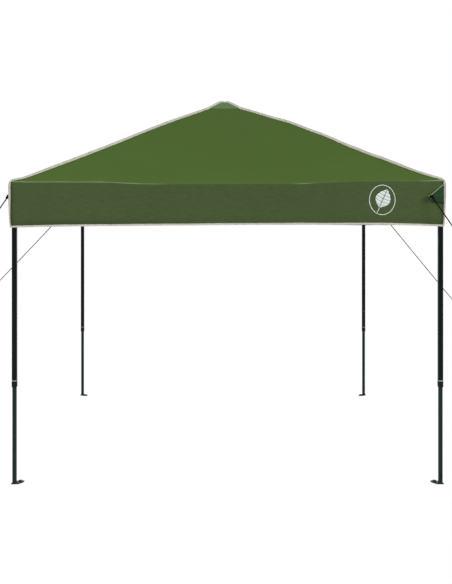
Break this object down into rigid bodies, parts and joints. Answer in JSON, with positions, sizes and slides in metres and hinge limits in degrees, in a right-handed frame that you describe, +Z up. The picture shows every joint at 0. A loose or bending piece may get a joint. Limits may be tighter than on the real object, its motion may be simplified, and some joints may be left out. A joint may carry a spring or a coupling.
{
  "type": "pop up gazebo",
  "caption": "Square pop-up gazebo: a green hipped canopy with a valance on a folding scissor frame, with telescopic legs, foot plates and guy ropes.",
  "frame": {"origin": "on the ground, midway between the four legs, under the peak", "axes": "+Z up, -Y towards the front, +X to the right seen from the front"},
  "size_m": [4.9423, 3.4865, 2.74],
  "materials": {
    "outer_tube": "satin",
    "inner_tube": "satin",
    "truss_bar": "satin",
    "peak_tube": "satin",
    "snap_button": "satin",
    "pull_knob": "matte",
    "moulding": "matte",
    "canopy_cloth": "matte",
    "rope": "matte"
  },
  "bodies": {
    "top": {"hub_upper": "moulding", "peak_pole": "peak_tube", "canopy": "canopy_cloth"},
    "centre_fall_front": {"centre_fall_front": "truss_bar"},
    "centre_rise_front": {"centre_rise_front": "truss_bar"},
    "mid_upper_front": {"mid_upper_front": "moulding"},
    "mid_lower_front": {"mid_lower_front": "moulding"},
    "hub_lower": {"hub_lower": "moulding"},
    "truss_rise_front_a": {"truss_rise_front_a": "truss_bar"},
    "truss_fall_front_a": {"truss_fall_front_a": "truss_bar"},
    "truss_rise_front_b": {"truss_rise_front_b": "truss_bar"},
    "truss_fall_front_b": {"truss_fall_front_b": "truss_bar"},
    "centre_fall_right": {"centre_fall_right": "truss_bar"},
    "centre_rise_right": {"centre_rise_right": "truss_bar"},
    "mid_upper_right": {"mid_upper_right": "moulding"},
    "mid_lower_right": {"mid_lower_right": "moulding"},
    "truss_rise_right_a": {"truss_rise_right_a": "truss_bar"},
    "truss_fall_right_a": {"truss_fall_right_a": "truss_bar"},
    "truss_rise_right_b": {"truss_rise_right_b": "truss_bar"},
    "truss_fall_right_b": {"truss_fall_right_b": "truss_bar"},
    "centre_fall_rear": {"centre_fall_rear": "truss_bar"},
    "centre_rise_rear": {"centre_rise_rear": "truss_bar"},
    "mid_upper_rear": {"mid_upper_rear": "moulding"},
    "mid_lower_rear": {"mid_lower_rear": "moulding"},
    "truss_rise_rear_a": {"truss_rise_rear_a": "truss_bar"},
    "truss_fall_rear_a": {"truss_fall_rear_a": "truss_bar"},
    "truss_rise_rear_b": {"truss_rise_rear_b": "truss_bar"},
    "truss_fall_rear_b": {"truss_fall_rear_b": "truss_bar"},
    "centre_fall_left": {"centre_fall_left": "truss_bar"},
    "centre_rise_left": {"centre_rise_left": "truss_bar"},
    "mid_upper_left": {"mid_upper_left": "moulding"},
    "mid_lower_left": {"mid_lower_left": "moulding"},
    "truss_rise_left_a": {"truss_rise_left_a": "truss_bar"},
    "truss_fall_left_a": {"truss_fall_left_a": "truss_bar"},
    "truss_rise_left_b": {"truss_rise_left_b": "truss_bar"},
    "truss_fall_left_b": {"truss_fall_left_b": "truss_bar"},
    "leg_outer_front_right": {"leg_outer_front_right": "outer_tube", "guy_rope_front_right": "rope"},
    "slider_front_right": {"slider_front_right": "moulding"},
    "leg_inner_front_right": {"leg_inner_front_right": "inner_tube"},
    "leg_button_front_right": {"leg_button_front_right": "snap_button"},
    "slider_button_front_right": {"slider_button_front_right": "pull_knob"},
    "leg_outer_front_left": {"leg_outer_front_left": "outer_tube", "guy_rope_front_left": "rope"},
    "slider_front_left": {"slider_front_left": "moulding"},
    "leg_inner_front_left": {"leg_inner_front_left": "inner_tube"},
    "leg_button_front_left": {"leg_button_front_left": "snap_button"},
    "slider_button_front_left": {"slider_button_front_left": "pull_knob"},
    "leg_outer_rear_left": {"leg_outer_rear_left": "outer_tube", "guy_rope_rear_left": "rope"},
    "slider_rear_left": {"slider_rear_left": "moulding"},
    "leg_inner_rear_left": {"leg_inner_rear_left": "inner_tube"},
    "leg_button_rear_left": {"leg_button_rear_left": "snap_button"},
    "slider_button_rear_left": {"slider_button_rear_left": "pull_knob"},
    "leg_outer_rear_right": {"leg_outer_rear_right": "outer_tube", "guy_rope_rear_right": "rope"},
    "slider_rear_right": {"slider_rear_right": "moulding"},
    "leg_inner_rear_right": {"leg_inner_rear_right": "inner_tube"},
    "leg_button_rear_right": {"leg_button_rear_right": "snap_button"},
    "slider_button_rear_right": {"slider_button_rear_right": "pull_knob"}
  },
  "joints": [
    {"name": "fold", "type": "hinge", "parent": "top", "child": "centre_fall_front", "pos_m": [0, -0.044, 1.948], "axis": [1, 0, 0], "range_deg": [0, 76.8], "deforming": ["canopy"]},
    {"name": "centre_cross_front", "type": "hinge", "parent": "centre_fall_front", "child": "centre_rise_front", "pos_m": [0, -0.63635, 1.8525], "axis": [-1, 0, 0], "range_deg": [0, 153.8]},
    {"name": "mid_lower_hinge_front", "type": "hinge", "parent": "centre_fall_front", "child": "mid_lower_front", "pos_m": [0, -1.376, 1.73325], "axis": [-1, 0, 0], "range_deg": [0, 77]},
    {"name": "mid_upper_hinge_front", "type": "hinge", "parent": "centre_rise_front", "child": "mid_upper_front", "pos_m": [0, -1.376, 1.97175], "axis": [1, 0, 0], "range_deg": [0, 77]},
    {"name": "hub_lower_hinge", "type": "hinge", "parent": "centre_rise_front", "child": "hub_lower", "pos_m": [0, -0.044, 1.757], "axis": [1, 0, 0], "range_deg": [0, 77]},
    {"name": "rise_hinge_front_a", "type": "hinge", "parent": "mid_lower_front", "child": "truss_rise_front_a", "pos_m": [-0.032, -1.412, 1.73325], "axis": [0, 1, 0], "range_deg": [0, 77]},
    {"name": "fall_hinge_front_a", "type": "hinge", "parent": "mid_upper_front", "child": "truss_fall_front_a", "pos_m": [-0.032, -1.412, 1.97175], "axis": [0, -1, 0], "range_deg": [0, 77]},
    {"name": "rise_hinge_front_b", "type": "hinge", "parent": "mid_lower_front", "child": "truss_rise_front_b", "pos_m": [0.032, -1.412, 1.73325], "axis": [0, -1, 0], "range_deg": [0, 77]},
    {"name": "fall_hinge_front_b", "type": "hinge", "parent": "mid_upper_front", "child": "truss_fall_front_b", "pos_m": [0.032, -1.412, 1.97175], "axis": [0, 1, 0], "range_deg": [0, 77]},
    {"name": "hub_hinge_right", "type": "hinge", "parent": "top", "child": "centre_fall_right", "pos_m": [0.044, 0, 1.948], "axis": [0, 1, 0], "range_deg": [0, 77]},
    {"name": "centre_cross_right", "type": "hinge", "parent": "centre_fall_right", "child": "centre_rise_right", "pos_m": [0.63635, 0, 1.8525], "axis": [0, -1, 0], "range_deg": [0, 153.8]},
    {"name": "mid_lower_hinge_right", "type": "hinge", "parent": "centre_fall_right", "child": "mid_lower_right", "pos_m": [1.376, 0, 1.73325], "axis": [0, -1, 0], "range_deg": [0, 77]},
    {"name": "mid_upper_hinge_right", "type": "hinge", "parent": "centre_rise_right", "child": "mid_upper_right", "pos_m": [1.376, 0, 1.97175], "axis": [0, 1, 0], "range_deg": [0, 77]},
    {"name": "rise_hinge_right_a", "type": "hinge", "parent": "mid_lower_right", "child": "truss_rise_right_a", "pos_m": [1.412, -0.032, 1.73325], "axis": [-1, 0, 0], "range_deg": [0, 77]},
    {"name": "fall_hinge_right_a", "type": "hinge", "parent": "mid_upper_right", "child": "truss_fall_right_a", "pos_m": [1.412, -0.032, 1.97175], "axis": [1, 0, 0], "range_deg": [0, 77]},
    {"name": "rise_hinge_right_b", "type": "hinge", "parent": "mid_lower_right", "child": "truss_rise_right_b", "pos_m": [1.412, 0.032, 1.73325], "axis": [1, 0, 0], "range_deg": [0, 77]},
    {"name": "fall_hinge_right_b", "type": "hinge", "parent": "mid_upper_right", "child": "truss_fall_right_b", "pos_m": [1.412, 0.032, 1.97175], "axis": [-1, 0, 0], "range_deg": [0, 77]},
    {"name": "hub_hinge_rear", "type": "hinge", "parent": "top", "child": "centre_fall_rear", "pos_m": [0, 0.044, 1.948], "axis": [-1, 0, 0], "range_deg": [0, 77]},
    {"name": "centre_cross_rear", "type": "hinge", "parent": "centre_fall_rear", "child": "centre_rise_rear", "pos_m": [0, 0.63635, 1.8525], "axis": [1, 0, 0], "range_deg": [0, 153.8]},
    {"name": "mid_lower_hinge_rear", "type": "hinge", "parent": "centre_fall_rear", "child": "mid_lower_rear", "pos_m": [0, 1.376, 1.73325], "axis": [1, 0, 0], "range_deg": [0, 77]},
    {"name": "mid_upper_hinge_rear", "type": "hinge", "parent": "centre_rise_rear", "child": "mid_upper_rear", "pos_m": [0, 1.376, 1.97175], "axis": [-1, 0, 0], "range_deg": [0, 77]},
    {"name": "rise_hinge_rear_a", "type": "hinge", "parent": "mid_lower_rear", "child": "truss_rise_rear_a", "pos_m": [0.032, 1.412, 1.73325], "axis": [0, -1, 0], "range_deg": [0, 77]},
    {"name": "fall_hinge_rear_a", "type": "hinge", "parent": "mid_upper_rear", "child": "truss_fall_rear_a", "pos_m": [0.032, 1.412, 1.97175], "axis": [0, 1, 0], "range_deg": [0, 77]},
    {"name": "rise_hinge_rear_b", "type": "hinge", "parent": "mid_lower_rear", "child": "truss_rise_rear_b", "pos_m": [-0.032, 1.412, 1.73325], "axis": [0, 1, 0], "range_deg": [0, 77]},
    {"name": "fall_hinge_rear_b", "type": "hinge", "parent": "mid_upper_rear", "child": "truss_fall_rear_b", "pos_m": [-0.032, 1.412, 1.97175], "axis": [0, -1, 0], "range_deg": [0, 77]},
    {"name": "hub_hinge_left", "type": "hinge", "parent": "top", "child": "centre_fall_left", "pos_m": [-0.044, 0, 1.948], "axis": [0, -1, 0], "range_deg": [0, 77]},
    {"name": "centre_cross_left", "type": "hinge", "parent": "centre_fall_left", "child": "centre_rise_left", "pos_m": [-0.63635, 0, 1.8525], "axis": [0, 1, 0], "range_deg": [0, 153.8]},
    {"name": "mid_lower_hinge_left", "type": "hinge", "parent": "centre_fall_left", "child": "mid_lower_left", "pos_m": [-1.376, 0, 1.73325], "axis": [0, 1, 0], "range_deg": [0, 77]},
    {"name": "mid_upper_hinge_left", "type": "hinge", "parent": "centre_rise_left", "child": "mid_upper_left", "pos_m": [-1.376, 0, 1.97175], "axis": [0, -1, 0], "range_deg": [0, 77]},
    {"name": "rise_hinge_left_a", "type": "hinge", "parent": "mid_lower_left", "child": "truss_rise_left_a", "pos_m": [-1.412, 0.032, 1.73325], "axis": [1, 0, 0], "range_deg": [0, 77]},
    {"name": "fall_hinge_left_a", "type": "hinge", "parent": "mid_upper_left", "child": "truss_fall_left_a", "pos_m": [-1.412, 0.032, 1.97175], "axis": [-1, 0, 0], "range_deg": [0, 77]},
    {"name": "rise_hinge_left_b", "type": "hinge", "parent": "mid_lower_left", "child": "truss_rise_left_b", "pos_m": [-1.412, -0.032, 1.73325], "axis": [-1, 0, 0], "range_deg": [0, 77]},
    {"name": "fall_hinge_left_b", "type": "hinge", "parent": "mid_upper_left", "child": "truss_fall_left_b", "pos_m": [-1.412, -0.032, 1.97175], "axis": [1, 0, 0], "range_deg": [0, 77]},
    {"name": "leg_hinge_front_right", "type": "hinge", "parent": "truss_rise_front_b", "child": "leg_outer_front_right", "pos_m": [1.364, -1.412, 1.948], "axis": [0, 1, 0], "range_deg": [0, 77]},
    {"name": "slider_hinge_front_right", "type": "hinge", "parent": "truss_fall_front_b", "child": "slider_front_right", "pos_m": [1.364, -1.412, 1.757], "axis": [0, -1, 0], "range_deg": [0, 77]},
    {"name": "leg_slide_front_right", "type": "slide", "parent": "leg_outer_front_right", "child": "leg_inner_front_right", "axis": [0, 0, 1], "range_m": [-0.102, 0.55]},
    {"name": "leg_button_press_front_right", "type": "slide", "parent": "leg_inner_front_right", "child": "leg_button_front_right", "axis": [1, 0, 0], "range_m": [0, 0.004], "stiffness_N_per_m": 300, "springref_m": -0.003},
    {"name": "slider_button_pull_front_right", "type": "slide", "parent": "slider_front_right", "child": "slider_button_front_right", "axis": [-1, 0, 0], "range_m": [0, 0.005], "stiffness_N_per_m": 300, "springref_m": -0.003},
    {"name": "leg_hinge_front_left", "type": "hinge", "parent": "truss_rise_front_a", "child": "leg_outer_front_left", "pos_m": [-1.364, -1.412, 1.948], "axis": [0, -1, 0], "range_deg": [0, 77]},
    {"name": "slider_hinge_front_left", "type": "hinge", "parent": "truss_fall_front_a", "child": "slider_front_left", "pos_m": [-1.364, -1.412, 1.757], "axis": [0, 1, 0], "range_deg": [0, 77]},
    {"name": "leg_slide_front_left", "type": "slide", "parent": "leg_outer_front_left", "child": "leg_inner_front_left", "axis": [0, 0, 1], "range_m": [-0.102, 0.55]},
    {"name": "leg_button_press_front_left", "type": "slide", "parent": "leg_inner_front_left", "child": "leg_button_front_left", "axis": [0, -1, 0], "range_m": [0, 0.004], "stiffness_N_per_m": 300, "springref_m": -0.003},
    {"name": "slider_button_pull_front_left", "type": "slide", "parent": "slider_front_left", "child": "slider_button_front_left", "axis": [0, 1, 0], "range_m": [0, 0.005], "stiffness_N_per_m": 300, "springref_m": -0.003},
    {"name": "leg_hinge_rear_left", "type": "hinge", "parent": "truss_rise_rear_b", "child": "leg_outer_rear_left", "pos_m": [-1.364, 1.412, 1.948], "axis": [0, -1, 0], "range_deg": [0, 77]},
    {"name": "slider_hinge_rear_left", "type": "hinge", "parent": "truss_fall_rear_b", "child": "slider_rear_left", "pos_m": [-1.364, 1.412, 1.757], "axis": [0, 1, 0], "range_deg": [0, 77]},
    {"name": "leg_slide_rear_left", "type": "slide", "parent": "leg_outer_rear_left", "child": "leg_inner_rear_left", "axis": [0, 0, 1], "range_m": [-0.102, 0.55]},
    {"name": "leg_button_press_rear_left", "type": "slide", "parent": "leg_inner_rear_left", "child": "leg_button_rear_left", "axis": [-1, 0, 0], "range_m": [0, 0.004], "stiffness_N_per_m": 300, "springref_m": -0.003},
    {"name": "slider_button_pull_rear_left", "type": "slide", "parent": "slider_rear_left", "child": "slider_button_rear_left", "axis": [1, 0, 0], "range_m": [0, 0.005], "stiffness_N_per_m": 300, "springref_m": -0.003},
    {"name": "leg_hinge_rear_right", "type": "hinge", "parent": "truss_rise_rear_a", "child": "leg_outer_rear_right", "pos_m": [1.364, 1.412, 1.948], "axis": [0, 1, 0], "range_deg": [0, 77]},
    {"name": "slider_hinge_rear_right", "type": "hinge", "parent": "truss_fall_rear_a", "child": "slider_rear_right", "pos_m": [1.364, 1.412, 1.757], "axis": [0, -1, 0], "range_deg": [0, 77]},
    {"name": "leg_slide_rear_right", "type": "slide", "parent": "leg_outer_rear_right", "child": "leg_inner_rear_right", "axis": [0, 0, 1], "range_m": [-0.102, 0.55]},
    {"name": "leg_button_press_rear_right", "type": "slide", "parent": "leg_inner_rear_right", "child": "leg_button_rear_right", "axis": [0, 1, 0], "range_m": [0, 0.004], "stiffness_N_per_m": 300, "springref_m": -0.003},
    {"name": "slider_button_pull_rear_right", "type": "slide", "parent": "slider_rear_right", "child": "slider_button_rear_right", "axis": [0, -1, 0], "range_m": [0, 0.005], "stiffness_N_per_m": 300, "springref_m": -0.003}
  ],
  "couplings": [
    {"joint": "centre_cross_front", "follows": "fold", "ratio": 2},
    {"joint": "mid_lower_hinge_front", "follows": "fold", "ratio": 1},
    {"joint": "mid_upper_hinge_front", "follows": "fold", "ratio": 1},
    {"joint": "hub_lower_hinge", "follows": "fold", "ratio": 1},
    {"joint": "rise_hinge_front_a", "follows": "fold", "ratio": 1},
    {"joint": "fall_hinge_front_a", "follows": "fold", "ratio": 1},
    {"joint": "rise_hinge_front_b", "follows": "fold", "ratio": 1},
    {"joint": "fall_hinge_front_b", "follows": "fold", "ratio": 1},
    {"joint": "hub_hinge_right", "follows": "fold", "ratio": 1},
    {"joint": "centre_cross_right", "follows": "fold", "ratio": 2},
    {"joint": "mid_lower_hinge_right", "follows": "fold", "ratio": 1},
    {"joint": "mid_upper_hinge_right", "follows": "fold", "ratio": 1},
    {"joint": "rise_hinge_right_a", "follows": "fold", "ratio": 1},
    {"joint": "fall_hinge_right_a", "follows": "fold", "ratio": 1},
    {"joint": "rise_hinge_right_b", "follows": "fold", "ratio": 1},
    {"joint": "fall_hinge_right_b", "follows": "fold", "ratio": 1},
    {"joint": "hub_hinge_rear", "follows": "fold", "ratio": 1},
    {"joint": "centre_cross_rear", "follows": "fold", "ratio": 2},
    {"joint": "mid_lower_hinge_rear", "follows": "fold", "ratio": 1},
    {"joint": "mid_upper_hinge_rear", "follows": "fold", "ratio": 1},
    {"joint": "rise_hinge_rear_a", "follows": "fold", "ratio": 1},
    {"joint": "fall_hinge_rear_a", "follows": "fold", "ratio": 1},
    {"joint": "rise_hinge_rear_b", "follows": "fold", "ratio": 1},
    {"joint": "fall_hinge_rear_b", "follows": "fold", "ratio": 1},
    {"joint": "hub_hinge_left", "follows": "fold", "ratio": 1},
    {"joint": "centre_cross_left", "follows": "fold", "ratio": 2},
    {"joint": "mid_lower_hinge_left", "follows": "fold", "ratio": 1},
    {"joint": "mid_upper_hinge_left", "follows": "fold", "ratio": 1},
    {"joint": "rise_hinge_left_a", "follows": "fold", "ratio": 1},
    {"joint": "fall_hinge_left_a", "follows": "fold", "ratio": 1},
    {"joint": "rise_hinge_left_b", "follows": "fold", "ratio": 1},
    {"joint": "fall_hinge_left_b", "follows": "fold", "ratio": 1},
    {"joint": "leg_hinge_front_right", "follows": "fold", "ratio": 1},
    {"joint": "slider_hinge_front_right", "follows": "fold", "ratio": 1},
    {"joint": "leg_hinge_front_left", "follows": "fold", "ratio": 1},
    {"joint": "slider_hinge_front_left", "follows": "fold", "ratio": 1},
    {"joint": "leg_hinge_rear_left", "follows": "fold", "ratio": 1},
    {"joint": "slider_hinge_rear_left", "follows": "fold", "ratio": 1},
    {"joint": "leg_hinge_rear_right", "follows": "fold", "ratio": 1},
    {"joint": "slider_hinge_rear_right", "follows": "fold", "ratio": 1}
  ]
}
